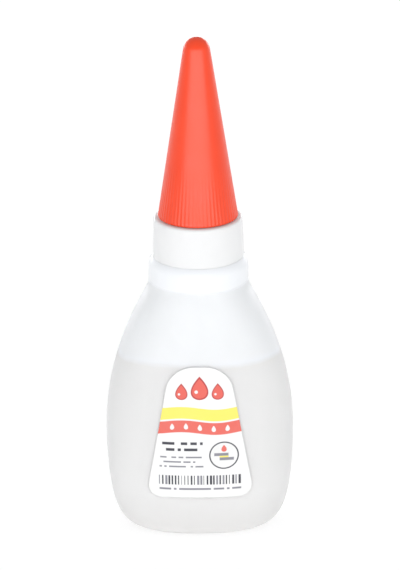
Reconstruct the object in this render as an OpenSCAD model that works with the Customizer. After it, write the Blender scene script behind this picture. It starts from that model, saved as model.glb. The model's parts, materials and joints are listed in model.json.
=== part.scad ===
// Squeeze bottle of instant glue with a dropper nozzle under a tall screw cap.
// Millimetres, +Z up. The origin is the centre of the foot, and -Y is the front.

/* [Bottle body] */
// Width across the belly, the widest level
body_w = 35.5; // [32:0.5:40]
// Depth across the belly, front to back
body_d = 19.6; // [18.4:0.2:24]
// Height of the belly above the foot
belly_z = 19.8; // [19:0.2:24]
// How far the sides stay near upright below the belly
belly_drop = 18.7; // [12:0.1:19]
// How far the sides stay near upright above the belly
belly_rise = 13.4; // [8:0.2:18]
// Width at which the sides turn under towards the foot
turn_w = 28.5; // [24:0.5:31]
// Depth at which the front and back turn under towards the foot
turn_d = 15.2; // [13:0.2:17]
// Width of the flat foot
foot_w = 19; // [15:0.5:22]
// Depth of the flat foot
foot_d = 11.8; // [9.6:0.2:13]
// Breadth of the flat rim that it stands on
foot_rim = 2.2; // [1.2:0.1:3]
// Rise of the hollow inside that rim
foot_hollow = 0.8; // [0.3:0.1:1.4]
// Width that the shoulder has a little below the neck
shoulder_w = 25.5; // [22:0.5:28]
// How far below the neck it has that width
shoulder_drop = 6.3; // [4:0.1:9]
// Height at which the shoulder runs into the neck
shoulder_z = 48.9; // [46:0.1:56]
// How square the oval is, where 2 is an ellipse
squareness = 2.3; // [2:0.05:2.8]
// Thickness of the wall
body_wall = 1; // [0.7:0.05:1.4]
// Thickness of the floor
floor_t = 1.2; // [0.8:0.1:1.8]

/* [Neck] */
// Diameter of the bead ring at the top of the shoulder
ring_d = 18.6; // [17.8:0.1:19.4]
// Height of the bead ring
ring_h = 4.6; // [3.4:0.1:6]
// How far the ring's upper edge is rounded inwards
ring_round = 0.8; // [0.3:0.1:1.2]
// How far down the ring that rounding reaches
ring_round_h = 1.8; // [0.6:0.1:2.2]
// Rounding between the shoulder and the ring
neck_blend = 0.9; // [0.4:0.1:1.4]
// Height of the taper inside the ring, up to the bore
throat_h = 2.4; // [1.5:0.1:3]
// Wall of the neck inside the collar
neck_wall = 1.2; // [0.9:0.05:1.5]
// How far the snap bead stands out of the neck
bead_out = 0.35; // [0.2:0.05:0.5]
// Height of the snap bead
bead_h = 1.4; // [1:0.1:2]
// Height of the snap bead's middle above the ring
bead_z = 3; // [2:0.1:4]

/* [Nozzle] */
// Diameter of the collar at its top
collar_d = 16.6; // [16:0.1:17.2]
// How much wider the collar is at its foot
collar_flare = 0.45; // [0:0.05:0.6]
// Height of the collar
collar_h = 7.5; // [6.6:0.1:10]
// Wall of the collar at its top
collar_wall = 1.15; // [0.9:0.05:1.4]
// Rounding of the collar's upper edge
collar_round = 0.5; // [0.2:0.05:0.8]
// Thickness of the deck under the cap
deck_t = 1.3; // [1:0.1:1.8]
// Length of the sealing plug inside the neck
plug_h = 3.6; // [2.5:0.1:5]
// Wall of the sealing plug
plug_wall = 0.9; // [0.7:0.05:1.1]
// Height of the threaded boss on the deck
boss_h = 7.4; // [7:0.1:8]
// Wall of the threaded boss
boss_wall = 1.2; // [1:0.05:1.5]
// Height of the cone from the boss to the spout
boss_cone_h = 2.2; // [1.5:0.1:3]
// Diameter of the spout at its foot
spout_d = 6.2; // [5.4:0.1:6.8]
// Diameter of the spout at its tip
spout_tip_d = 2.4; // [2.1:0.1:2.8]
// Height of the spout's tip above the deck
spout_h = 25.9; // [22:0.1:27]
// Wall of the spout at its foot
spout_wall = 1.1; // [0.9:0.05:1.3]
// Diameter of the dropping hole
hole_d = 1.1; // [1:0.05:1.3]
// Length of the dropping hole
hole_h = 7.5; // [6:0.1:9]

/* [Cap] */
// Diameter of the cap at its rim
cap_d = 15; // [14.4:0.02:15.4]
// Height of the cap
cap_h = 34.4; // [33:0.1:37]
// Radius of the cap's round tip
cap_tip_r = 2.5; // [2:0.05:2.8]
// Wall of the cap above the thread
cap_wall = 1.2; // [0.9:0.05:1.4]
// Depth of the threaded bore from the rim
cap_bore_h = 8; // [7.6:0.1:9]
// Number of flutes round the rim
flute_count = 60; // [48:2:84]
// Depth of a flute at the rim
flute_depth = 0.16; // [0.1:0.01:0.2]
// Height at which the flutes have run out
flute_h = 11; // [8:0.2:12]

/* [Screw thread] */
// Diameter over the nozzle's thread
thread_d = 9.9; // [9.6:0.05:10]
// Height of a thread ridge, square to the axis
thread_depth = 0.75; // [0.65:0.05:0.85]
// Rise of the thread in one turn
lead = 3; // [2.6:0.1:3.4]
// Breadth of a ridge at its root
ridge_root_w = 1.2; // [1:0.05:1.3]
// Breadth of a ridge at its crest
ridge_crest_w = 0.65; // [0.5:0.05:0.8]
// Height from each end of a threaded stretch to the middle of its ridge
ridge_margin = 1.2; // [1:0.05:1.4]

/* [Sealing pin] */
// Diameter of the pin
pin_d = 0.8; // [0.7:0.02:0.84]
// Length of the pin
pin_h = 10.4; // [9:0.1:11.5]
// Depth of its socket in the cap's tip
socket_h = 4.7; // [3.5:0.1:5]
// Length of the pin's point
pin_point_h = 1; // [0.6:0.1:1.5]

/* [Labels] */
// Height of the labels' lower edge above the foot
label_z = 8.9; // [7:0.1:11]
// Height of the labels
label_h = 26.5; // [20:0.1:28]
// Width of the labels at the lower edge, corners left out
label_w = 20.4; // [16:0.1:22]
// Width of the labels at the upper edge, corners left out
label_top_w = 11; // [10:0.1:14]
// Radius of the lower corners
label_corner_r = 2.8; // [1:0.1:3.6]
// Radius of the upper corners
label_top_r = 4.4; // [2:0.1:4.8]
// Thickness of the labels
label_t = 0.12; // [0.08:0.01:0.2]

/* [Glue] */
// Level of the glue above the foot
fill_z = 35; // [26:0.5:42]

/* [Clearances] */
// Play between the neck and what sits on or in it
neck_play = 0.06; // [0.03:0.01:0.1]
// Gap between the collar and the ring, and between the neck's top and the deck
seat_gap = 0.05; // [0.02:0.01:0.1]
// Gap between the cap's rim and the deck
rim_gap = 0.1; // [0.05:0.01:0.2]
// Play between each thread's crest and the other thread's root
thread_play = 0.25; // [0.2:0.01:0.3]
// Gap between the spout's tip and the roof inside the cap
roof_gap = 1; // [0.6:0.1:1.4]
// Play round the pin in its socket
pin_play = 0.02; // [0.01:0.005:0.04]
// Gap between the pin's head and the end of its socket
pin_gap = 0.05; // [0.02:0.01:0.1]
// Gap between the labels and the body
label_gap = 0.05; // [0.04:0.01:0.1]
// Gap between the glue and the wall
fill_gap = 0.08; // [0.05:0.01:0.15]

/* [Hidden] */
$fn = 96;

// Heights, from the foot up
ring_z = shoulder_z + neck_blend;
ring_top = ring_z + ring_h;
deck_z = ring_top + collar_h;
deck_under = deck_z - deck_t;
neck_top = deck_under - seat_gap;
boss_top = deck_z + boss_h;
spout_z = boss_top + boss_cone_h;
spout_top = deck_z + spout_h;
rim_z = deck_z + rim_gap;
cap_top = rim_z + cap_h;
roof_z = spout_top + roof_gap;

// Radii of the round pieces
ring_r = ring_d / 2;
ring_arc_r = (pow(ring_round, 2) + pow(ring_round_h, 2)) / ring_round / 2;
collar_bore_r = collar_d / 2 - collar_wall;
neck_r = collar_bore_r - neck_play;
bore_r = neck_r - neck_wall;
plug_r = bore_r - neck_play;
thread_r = thread_d / 2;
boss_r = thread_r - thread_depth;
cap_bore_r = thread_r + thread_play;
cap_crest_r = boss_r + thread_play;
boss_bore_r = boss_r - boss_wall;
channel_r = spout_d / 2 - spout_wall;
pin_r = pin_d / 2;

// The two ridges lie on one helix, half a lead apart, so that each runs in the other's gap
nozzle_ridge_z = deck_z + ridge_margin;
nozzle_turns = (boss_top - ridge_margin - nozzle_ridge_z) / lead;
cap_ridge_z = nozzle_ridge_z + lead / 2;
cap_turns = (rim_z + cap_bore_h - ridge_margin - cap_ridge_z) / lead;

// The cap's side is the tangent from its rim to the round tip
tip_z = cap_top - cap_tip_r;
tip_reach = norm([cap_d / 2, tip_z - rim_z]);
taper = atan2(cap_d / 2, tip_z - rim_z) - asin(cap_tip_r / tip_reach);
function cap_side_r(z) = cap_d / 2 - (z - rim_z) * tan(taper);
function cap_inside_r(z) = cap_side_r(z) - cap_wall / cos(taper);

// How far the pieces of one solid run into each other
lap = 0.4;
// Step by which a lofted part stays inside the turned part that it runs into
lap_step = 0.03;
// Facets round the body, and steps along its outline
body_sides = 56;
low_steps = 8;
high_steps = 11;
blend_steps = 3;
hollow_steps = 3;
// Facets in a turn of a thread, and the share of its length in which it fades out at each end
thread_facets = 30;
fade = 0.12;
// Steps across and along a label
label_across = 14;
label_along = 20;
// Halvings when the outline is searched for a height
search_steps = 24;
// Excess of a cutting tool past the surface that it cuts
spill = 1;

function cubic(p, t) =
    pow(1 - t, 3) * p[0] + 3 * pow(1 - t, 2) * t * p[1] + 3 * (1 - t) * t * t * p[2] + pow(t, 3) * p[3];
function quadratic(p, t) = pow(1 - t, 2) * p[0] + 2 * (1 - t) * t * p[1] + t * t * p[2];

// The body's outline is a row of ovals: [half width, half depth, height, squareness].
// inset moves it inwards by a wall, and lift raises its floor.
function oval_at(w, d, z, inset, s) = [w / 2 - inset, d / 2 - inset, z, s];
function belly(z, inset) = oval_at(body_w, body_d, z, inset, squareness);
function low_oval(t, inset, lift) = cubic([
    oval_at(foot_w, foot_d, lift, inset, squareness),
    oval_at(turn_w, turn_d, lift, inset, squareness),
    belly(belly_z - belly_drop + lift, inset),
    belly(belly_z, inset)
], t);
function high_oval(t, inset) = cubic([
    belly(belly_z, inset),
    belly(belly_z + belly_rise, inset),
    oval_at(shoulder_w, (body_d + ring_d) / 2, shoulder_z - shoulder_drop, inset, 2),
    oval_at(ring_d, ring_d, shoulder_z, inset, 2)
], t);
function neck_oval(z, inset) = oval_at(ring_d, ring_d, z, inset, 2);
function blend_oval(t, inset) = quadratic([
    high_oval(high_t(shoulder_z - neck_blend), inset),
    neck_oval(shoulder_z, inset),
    neck_oval(ring_z, inset)
], t);
function hollow_oval(s, lift) = [
    s * (foot_w / 2 - foot_rim),
    s * (foot_d / 2 - foot_rim),
    lift + foot_hollow * pow(1 - s * s, 2),
    squareness
];

// Where on each stretch of the outline a height is reached
function high_t(z, low = 0, high = 1, n = search_steps) =
    let (mid = (low + high) / 2)
    n == 0 ? mid : high_oval(mid, 0)[2] < z ? high_t(z, mid, high, n - 1) : high_t(z, low, mid, n - 1);
function low_t(z, low = 0, high = 1, n = search_steps) =
    let (mid = (low + high) / 2)
    n == 0 ? mid : low_oval(mid, 0, 0)[2] < z ? low_t(z, mid, high, n - 1) : low_t(z, low, mid, n - 1);
function outside_oval(z) = z < belly_z ? low_oval(low_t(z), 0, 0) : high_oval(high_t(z), 0);

// The floor and the sides from the middle of the foot up to a height below the neck
function floor_ovals(lift) = [for (i = [1 : hollow_steps]) hollow_oval(i / hollow_steps, lift)];
function low_ovals(inset, lift) = [for (i = [0 : low_steps]) low_oval(i / low_steps, inset, lift)];
function high_ovals(inset, end_t) = [for (i = [1 : high_steps]) high_oval(end_t * i / high_steps, inset)];
function blend_ovals(inset) = [for (i = [1 : blend_steps]) blend_oval(i / blend_steps, inset)];
function body_ovals(inset, lift) = concat(
    floor_ovals(lift),
    low_ovals(inset, lift),
    high_ovals(inset, high_t(shoulder_z - neck_blend)),
    blend_ovals(inset),
    [neck_oval(ring_z + lap, inset)]
);
function reversed(list) = [for (i = [len(list) - 1 : -1 : 0]) list[i]];

function oval_point(s, a) =
    let (k = pow(pow(abs(cos(a)), s[3]) + pow(abs(sin(a)), s[3]), -1 / s[3]))
    [s[0] * k * cos(a), s[1] * k * sin(a), s[2]];

// A closed solid through rings of points that all have the same count
module skin(rings) {
    n = len(rings[0]);
    last = len(rings) - 1;
    function corner(j, i) = j * n + i % n;
    polyhedron(
        points = [for (ring = rings) each ring],
        faces = concat(
            [[for (i = [0 : n - 1]) i]],
            [for (j = [0 : last - 1], i = [0 : n - 1]) [corner(j, i), corner(j + 1, i), corner(j + 1, i + 1)]],
            [for (j = [0 : last - 1], i = [0 : n - 1]) [corner(j, i), corner(j + 1, i + 1), corner(j, i + 1)]],
            [[for (i = [n - 1 : -1 : 0]) corner(last, i)]]
        )
    );
}

module loft(ovals) {
    skin([for (s = ovals) [for (i = [0 : body_sides - 1]) oval_point(s, 360 * i / body_sides)]]);
}

// Points of an arc in a turned outline
function arc(centre, r, from, to, steps = 8) =
    [for (i = [0 : steps]) let (a = from + (to - from) * i / steps) centre + r * [cos(a), sin(a)]];

// A helical ridge that fades into the round surface at both ends.
// side is 1 for a ridge that stands outwards and -1 for one that stands inwards.
module ridge(surface_r, crest_r, side, start_z, turns) {
    steps = ceil(turns * thread_facets);
    buried_r = surface_r - side * lap;
    function section(i) =
        let (
            t = i / steps,
            out = min(1, t / fade, (1 - t) / fade),
            top_r = surface_r - side * lap / 4 + out * (crest_r - surface_r + side * lap / 4),
            a = 360 * turns * t,
            z = start_z + lead * turns * t,
            rows = [
                [buried_r, -ridge_root_w / 2],
                [top_r, -ridge_crest_w / 2],
                [top_r, ridge_crest_w / 2],
                [buried_r, ridge_root_w / 2]
            ]
        )
        [for (p = side > 0 ? reversed(rows) : rows) [p[0] * cos(a), p[0] * sin(a), z + p[1]]];
    skin([for (i = [0 : steps]) section(i)]);
}

// The neck is turned, and the hollow body is lofted up into its ring
module bottle() {
    bead_low = ring_top + bead_z - bead_h / 2;
    color("#e9eef4") {
        loft(concat(body_ovals(lap_step, 0), reversed(body_ovals(body_wall, floor_t))));
        rotate_extrude() polygon(concat(
            [[ring_r - body_wall - lap_step, ring_z], [ring_r, ring_z]],
            arc([ring_r - ring_arc_r, ring_top - ring_round_h], ring_arc_r, 0, 2 * atan(ring_round / ring_round_h)),
            [
                [neck_r, ring_top],
                [neck_r, bead_low],
                [neck_r + bead_out, bead_low + bead_h / 3],
                [neck_r + bead_out, bead_low + 2 * bead_h / 3],
                [neck_r, bead_low + bead_h],
                [neck_r, neck_top],
                [bore_r, neck_top],
                [bore_r, ring_z + throat_h]
            ]
        ));
    }
}

// The collar snaps over the neck's bead, the plug seals the bore, and the boss carries the cap
module nozzle() {
    foot_r = collar_d / 2 + collar_flare / 2;
    collar_z = ring_top + seat_gap;
    groove_low = ring_top + bead_z - bead_h / 2 - neck_play;
    groove_h = bead_h + 2 * neck_play;
    groove_r = collar_bore_r + bead_out;
    color("#f7f8f8") {
        rotate_extrude() polygon(concat(
            [[collar_bore_r, collar_z], [foot_r, collar_z]],
            arc([collar_d / 2 - collar_round, deck_z - collar_round], collar_round, 0, 90),
            [
                [boss_r, deck_z],
                [boss_r, boss_top],
                [spout_d / 2, spout_z],
                [spout_tip_d / 2, spout_top],
                [hole_d / 2, spout_top],
                [hole_d / 2, spout_top - hole_h],
                [channel_r, spout_z],
                [boss_bore_r, boss_top],
                [boss_bore_r, deck_z],
                [plug_r - plug_wall, deck_under],
                [plug_r - plug_wall, deck_under - plug_h],
                [plug_r, deck_under - plug_h],
                [plug_r, deck_under],
                [collar_bore_r, deck_under],
                [collar_bore_r, groove_low + groove_h],
                [groove_r, groove_low + 2 * groove_h / 3],
                [groove_r, groove_low + groove_h / 3],
                [collar_bore_r, groove_low]
            ]
        ));
        ridge(boss_r, thread_r, 1, nozzle_ridge_z, nozzle_turns);
    }
}

// V-shaped flutes run up the cap's side and fade out where their root meets the cone
module flutes() {
    lean = atan((flute_h * tan(taper) - flute_depth) / flute_h);
    half_w = PI * cap_d / flute_count / 2;
    reach = flute_depth + spill;
    for (i = [0 : flute_count - 1]) {
        rotate(360 * i / flute_count)
            translate([cap_d / 2 - flute_depth, 0, rim_z])
                rotate([0, -lean, 0])
                    translate([0, 0, -spill])
                        linear_extrude(flute_h + 2 * spill)
                            polygon([
                                [0, 0],
                                [reach, -half_w * reach / flute_depth],
                                [reach, half_w * reach / flute_depth]
                            ]);
    }
}

module cap() {
    bore_top = rim_z + cap_bore_h;
    color("#f0402a") {
        difference() {
            rotate_extrude() polygon(concat(
                [[0, rim_z], [cap_d / 2, rim_z]],
                arc([0, tip_z], cap_tip_r, taper, 90, 12)
            ));
            rotate_extrude() polygon([
                [0, rim_z - spill],
                [cap_bore_r, rim_z - spill],
                [cap_bore_r, bore_top],
                [min(cap_bore_r, cap_inside_r(bore_top)), bore_top],
                [cap_inside_r(roof_z), roof_z],
                [0, roof_z]
            ]);
            translate([0, 0, roof_z - spill]) cylinder(r = pin_r + pin_play, h = socket_h + spill);
            flutes();
        }
        ridge(cap_bore_r, cap_crest_r, -1, cap_ridge_z, cap_turns);
    }
}

// The pin hangs from its socket into the dropping hole
module sealing_pin() {
    head_z = roof_z + socket_h - pin_gap;
    color("silver") rotate_extrude() polygon([
        [0, head_z],
        [0, head_z - pin_h],
        [pin_r, head_z - pin_h + pin_point_h],
        [pin_r, head_z]
    ]);
}

module glue_fill() {
    inset = body_wall + fill_gap;
    lift = floor_t + fill_gap;
    color("#eef0f0") loft(concat(
        floor_ovals(lift),
        low_ovals(inset, lift),
        high_ovals(inset, high_t(fill_z))
    ));
}

// A label follows the body's front: rows of points from its lower edge up, each row as wide as the
// outline is at that height, then the same rows a label's thickness further out
function label_half_w(h) =
    let (
        side = label_w / 2 - (label_w - label_top_w) / 2 * h / label_h,
        low = max(0, label_corner_r - h),
        high = max(0, h - label_h + label_top_r)
    )
    side - label_corner_r + sqrt(pow(label_corner_r, 2) - low * low)
        - label_top_r + sqrt(pow(label_top_r, 2) - high * high);
function front_y(x, z) =
    let (s = outside_oval(z))
    -s[1] * pow(1 - pow(abs(x) / s[0], s[3]), 1 / s[3]);
function label_row(h, out) =
    let (half = label_half_w(h), z = label_z + h)
    [for (i = [0 : label_across]) let (x = half * (2 * i / label_across - 1)) [x, front_y(x, z) - out, z]];

module label() {
    heights = [for (j = [0 : label_along]) label_h * (1 - cos(180 * j / label_along)) / 2];
    skin([for (h = heights) concat(label_row(h, label_gap + label_t), reversed(label_row(h, label_gap)))]);
}

module front_label() {
    color("white") label();
}

module back_label() {
    color("white") rotate(180) label();
}

bottle();
nozzle();
cap();
sealing_pin();
glue_fill();
front_label();
back_label();
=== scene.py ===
# %% [markdown]
# # A bottle of instant glue
# The object is a small squeeze bottle with a milky flat-oval body, a white dropper nozzle pressed over its
# neck, and a tall orange-red cone that screws onto the nozzle. The CAD frame already holds each piece at
# its real size and carries the joints, so this lesson makes the finer meshes and the finishes that ride on
# it.

# %% Load the frame
import json
import math
from functools import lru_cache

import bmesh
import bpy
from mathutils import Matrix, Vector


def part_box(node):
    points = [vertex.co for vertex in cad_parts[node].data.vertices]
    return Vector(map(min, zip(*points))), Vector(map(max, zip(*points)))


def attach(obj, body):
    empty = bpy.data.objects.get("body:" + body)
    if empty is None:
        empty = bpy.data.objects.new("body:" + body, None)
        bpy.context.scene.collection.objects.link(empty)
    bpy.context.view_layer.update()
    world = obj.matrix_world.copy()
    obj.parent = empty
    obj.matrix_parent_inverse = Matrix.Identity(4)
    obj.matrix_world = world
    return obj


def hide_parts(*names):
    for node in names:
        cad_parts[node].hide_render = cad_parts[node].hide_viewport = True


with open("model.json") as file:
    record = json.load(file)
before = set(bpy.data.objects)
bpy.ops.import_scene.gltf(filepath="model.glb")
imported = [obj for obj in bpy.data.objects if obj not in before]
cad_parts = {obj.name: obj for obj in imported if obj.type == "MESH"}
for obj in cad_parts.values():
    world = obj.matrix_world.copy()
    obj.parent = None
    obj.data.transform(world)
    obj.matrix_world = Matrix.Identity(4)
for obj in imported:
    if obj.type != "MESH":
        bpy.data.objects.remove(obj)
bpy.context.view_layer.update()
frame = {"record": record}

MM = 0.001


def in_mm(sizes):
    return [round(value / MM, 2) for value in sizes]


# %% [markdown]
# ## From a mesh to a piece
# A piece could be modelled in metres, as Blender stores it, but a 1 mm wall is easier to read as 1 than as
# 0.001. So every mesh here is shaped in millimetres and scaled once, when it is done. The helper also welds
# stray doubles, turns the faces outwards and shades them smooth, apart from edges sharper than a given
# angle. The piece then rides on the body of the CAD node that it stands for, and takes the materials it is
# given.

# %% Helpers that finish a piece
WELD = 0.0002
FULL_TURN = 2 * math.pi
Z_AXIS = Vector((0, 0, 1))
record = frame["record"]
body_of_node = {node: body for body, nodes in record["behaviour"]["bodies"].items() for node in nodes}


def mesh_from(bm, name):
    mesh = bpy.data.meshes.new(name)
    bm.to_mesh(mesh)
    bm.free()
    return mesh


def add_object(name, data):
    """Puts an object with this mesh, lamp or camera into the scene."""
    obj = bpy.data.objects.new(name, data)
    bpy.context.scene.collection.objects.link(obj)
    return obj


def finish_piece(bm, name, node, materials, crisp_deg=40):
    """Makes an object of a bmesh in millimetres and puts it in place of a CAD node."""
    bmesh.ops.remove_doubles(bm, verts=bm.verts, dist=WELD)
    bmesh.ops.recalc_face_normals(bm, faces=bm.faces)
    bmesh.ops.scale(bm, vec=Vector((MM, MM, MM)), verts=bm.verts)
    mesh = mesh_from(bm, name)
    mesh.shade_smooth()
    mesh.set_sharp_from_angle(angle=math.radians(crisp_deg))
    for material in materials:
        mesh.materials.append(material)
    piece = add_object(name, mesh)
    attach(piece, body_of_node[node])
    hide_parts(node)
    print(name, "has", len(mesh.polygons), "faces and measures", in_mm(piece.dimensions), "mm")


print("nodes and their bodies:", body_of_node)

# %% [markdown]
# ## Small helpers for materials
# Node trees get long when each node takes four lines, so these helpers add a node with its inputs in one
# call. A value that changes over the surface is linked, and one that is the same all over is set on its
# socket.

# %% Node helpers
MIX_FACTOR, MIX_FIRST, MIX_SECOND, MIX_RESULT = 0, 6, 7, 2


def fill_input(tree, socket, value):
    """Links a socket to a socket, or sets its value."""
    if isinstance(value, bpy.types.NodeSocket):
        tree.links.new(value, socket)
    else:
        socket.default_value = value


def fill(tree, node, **inputs):
    """Fills inputs of a node by their names, with _ for each space."""
    for key, value in inputs.items():
        fill_input(tree, node.inputs[key.replace("_", " ")], value)


def put(tree, kind, inputs=None, **settings):
    """Adds a node, sets its properties, and fills its inputs."""
    node = tree.nodes.new(kind)
    for key, value in settings.items():
        setattr(node, key, value)
    for key, value in (inputs or {}).items():
        fill_input(tree, node.inputs[key], value)
    return node


def maths(tree, operation, *values):
    """One arithmetic node, and its result."""
    return put(tree, "ShaderNodeMath", dict(enumerate(values)), operation=operation).outputs[0]


def plus(tree, first, second):
    return maths(tree, "ADD", first, second)


def minus(tree, first, second):
    return maths(tree, "SUBTRACT", first, second)


def times(tree, first, second):
    return maths(tree, "MULTIPLY", first, second)


def ramp(tree, value, low, high, at_low, at_high):
    """A value moved from one range to another, held at its ends."""
    limits = {"Value": value, "From Min": low, "From Max": high, "To Min": at_low, "To Max": at_high}
    return put(tree, "ShaderNodeMapRange", limits).outputs["Result"]


def between(tree, share, at_none, at_full):
    """A value that goes from one to the other as a share goes from 0 to 1."""
    return ramp(tree, share, 0.0, 1.0, at_none, at_full)


def mix_colour(tree, factor, first, second):
    """The first colour where the factor is 0, and the second where it is 1."""
    inputs = {MIX_FACTOR: factor, MIX_FIRST: first, MIX_SECOND: second}
    return put(tree, "ShaderNodeMix", inputs, data_type="RGBA").outputs[MIX_RESULT]


def use_group(tree, group, **inputs):
    """Places a node group with its own values, and returns its outputs."""
    node = put(tree, "ShaderNodeGroup", node_tree=group)
    fill(tree, node, **inputs)
    return node.outputs


def stretched(tree, place, factors):
    """A place scaled by its own factor along each axis."""
    return put(tree, "ShaderNodeVectorMath", {0: place, 1: factors}, operation="MULTIPLY").outputs["Vector"]


def relief(tree, height, depth):
    """A normal for a height from 0 to 1 that stands for a depth in millimetres."""
    bump = put(tree, "ShaderNodeBump", {"Height": height, "Strength": 1.0, "Distance": depth * MM})
    return bump.outputs["Normal"]


def new_material(name, **values):
    """A material with these plain shader values, its tree, its shader and the surface's place in mm."""
    material = bpy.data.materials.new(name)
    material.use_nodes = True
    tree = material.node_tree
    shader = tree.nodes["Principled BSDF"]
    fill(tree, shader, **values)
    place = put(tree, "ShaderNodeTexCoord").outputs["Object"]
    scaled = put(tree, "ShaderNodeVectorMath", {0: place, "Scale": 1 / MM}, operation="SCALE")
    return material, tree, shader, scaled.outputs["Vector"]


print("node helpers are ready")

# %% [markdown]
# ## Effects that several plastics share
# No moulded surface is perfectly even. Under a lamp it shows slow clouds of tone, a fine skin like orange
# peel, and hairline scuffs from handling. These could be painted into each material by hand. Here each
# effect is a node group, built once and placed with its own sizes wherever it shows, so that the pieces
# belong together.

# %% The moulded skin and the scuffs
CLOUD_RANGE = (0.3, 0.7)
SCUFF_TURNS = ((0.35, 0.2, 0.0), (-0.5, 0.9, 0.4))
SCUFF_LIMIT = 0.82
SCUFF_SPAN = 0.3


def new_group(name, inputs, outputs):
    """An empty node group with sockets for these inputs, {name: default}, and these float outputs."""
    group = bpy.data.node_groups.new(name, "ShaderNodeTree")
    for key, default in inputs.items():
        kind = "NodeSocketVector" if default is None else "NodeSocketFloat"
        socket = group.interface.new_socket(key, in_out="INPUT", socket_type=kind)
        if default is not None:
            socket.default_value = default
    for key in outputs:
        group.interface.new_socket(key, in_out="OUTPUT", socket_type="NodeSocketFloat")
    return group, group.nodes.new("NodeGroupInput").outputs, group.nodes.new("NodeGroupOutput").inputs


def noise(tree, place, size, detail=2.0):
    """Soft noise from 0 to 1 whose blobs are about this size in millimetres."""
    scale = maths(tree, "DIVIDE", 1.0, size)
    return put(tree, "ShaderNodeTexNoise", {"Vector": place, "Scale": scale, "Detail": detail}).outputs["Fac"]


def make_moulded_skin():
    """Slow clouds of tone, and the fine skin of a moulded surface."""
    sizes = {"Place": None, "Cloud Size": 9.0, "Skin Size": 0.5}
    group, given, wanted = new_group("moulded_skin", sizes, ("Clouds", "Skin"))
    clouds = noise(group, given["Place"], given["Cloud Size"], 3.0)
    skin = noise(group, given["Place"], given["Skin Size"])
    group.links.new(ramp(group, clouds, *CLOUD_RANGE, 0.0, 1.0), wanted["Clouds"])
    group.links.new(skin, wanted["Skin"])
    return group


def make_hair_scuffs():
    """Hairline scuffs in two directions, as a mask."""
    sizes = {"Place": None, "Length": 5.0, "Width": 0.12, "Cover": 0.3}
    group, given, wanted = new_group("hair_scuffs", sizes, ("Scuffs",))
    across = maths(group, "DIVIDE", 1.0, given["Width"])
    along = maths(group, "DIVIDE", 1.0, given["Length"])
    stretch = put(group, "ShaderNodeCombineXYZ", {"X": across, "Y": across, "Z": along}).outputs["Vector"]
    threshold = minus(group, SCUFF_LIMIT, times(group, given["Cover"], SCUFF_SPAN))
    both = []
    for turn in SCUFF_TURNS:
        turned = put(group, "ShaderNodeVectorRotate", {"Vector": given["Place"], "Rotation": turn},
                     rotation_type="EULER_XYZ").outputs["Vector"]
        long_place = stretched(group, turned, stretch)
        hairs = put(group, "ShaderNodeTexNoise", {"Vector": long_place, "Scale": 1.0, "Detail": 1.0})
        both.append(maths(group, "GREATER_THAN", hairs.outputs["Fac"], threshold))
    group.links.new(maths(group, "MAXIMUM", *both), wanted["Scuffs"])
    return group


moulded_skin = make_moulded_skin()
hair_scuffs = make_hair_scuffs()
print("shared effects:", moulded_skin.name, "and", hair_scuffs.name)

# %% [markdown]
# ## The outline of the body
# The body is blown into a mould: a flat oval that swells from a small foot to a broad belly and draws in
# again to a round neck. It could be sculpted, but its outline is really two smooth curves, so it is written
# as two Bezier curves of ovals. Each oval has a half width, a half depth, a height and a squareness, where
# 2 is a true ellipse and more is squarer. The same curves, moved inwards, give the inside of the wall and
# the glue.

# %% Sizes of the bottle and the curves of its outline
bottle_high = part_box("bottle")[1] / MM
PARTING_RIDGE = 0.05
body_w = 2 * (bottle_high.x - PARTING_RIDGE)
body_d = 2 * (bottle_high.y - PARTING_RIDGE)
BELLY_Z = 19.8
BELLY_DROP = 18.7
BELLY_RISE = 13.4
TURN_W = 28.5
TURN_D = 15.2
FOOT_W = 19.0
FOOT_D = 11.8
FOOT_RIM = 2.2
FOOT_HOLLOW = 0.8
SHOULDER_W = 25.5
SHOULDER_DROP = 6.3
SHOULDER_Z = 48.9
RING_D = 18.6
NECK_BLEND = 0.9
SQUARENESS = 2.3
ROUND = 2.0
WALL = 1.0
FLOOR_T = 1.2
RING_Z = SHOULDER_Z + NECK_BLEND
HALVINGS = 40


def bezier(points, t):
    """A point of the curve through the first and the last of these, drawn towards the others."""
    while len(points) > 1:
        points = [a.lerp(b, t) for a, b in zip(points, points[1:])]
    return points[0]


def oval_at(width, depth, z, inset, squareness):
    return Vector((width / 2 - inset, depth / 2 - inset, z, squareness))


def low_oval(t, inset, lift):
    """The body from the foot, at 0, up to the belly, at 1."""
    return bezier([oval_at(FOOT_W, FOOT_D, lift, inset, SQUARENESS),
                   oval_at(TURN_W, TURN_D, lift, inset, SQUARENESS),
                   oval_at(body_w, body_d, BELLY_Z - BELLY_DROP + lift, inset, SQUARENESS),
                   oval_at(body_w, body_d, BELLY_Z, inset, SQUARENESS)], t)


def high_oval(t, inset):
    """The body from the belly, at 0, up to the shoulder, at 1."""
    return bezier([oval_at(body_w, body_d, BELLY_Z, inset, SQUARENESS),
                   oval_at(body_w, body_d, BELLY_Z + BELLY_RISE, inset, SQUARENESS),
                   oval_at(SHOULDER_W, (body_d + RING_D) / 2, SHOULDER_Z - SHOULDER_DROP, inset, ROUND),
                   oval_at(RING_D, RING_D, SHOULDER_Z, inset, ROUND)], t)


def t_at_height(curve, z):
    """Where on a curve of ovals a height is reached, found by halving."""
    low, high = 0.0, 1.0
    for _ in range(HALVINGS):
        middle = (low + high) / 2
        low, high = (middle, high) if curve(middle).z < z else (low, middle)
    return low


@lru_cache(maxsize=None)
def outside_oval(z):
    """The oval of the body's outside at a height."""
    if z < BELLY_Z:
        return low_oval(t_at_height(lambda t: low_oval(t, 0, 0), z), 0, 0)
    return high_oval(t_at_height(lambda t: high_oval(t, 0), z), 0)


print("belly", round(body_w, 2), "x", round(body_d, 2), "mm, ring at", round(RING_Z, 2), "mm")

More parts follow.
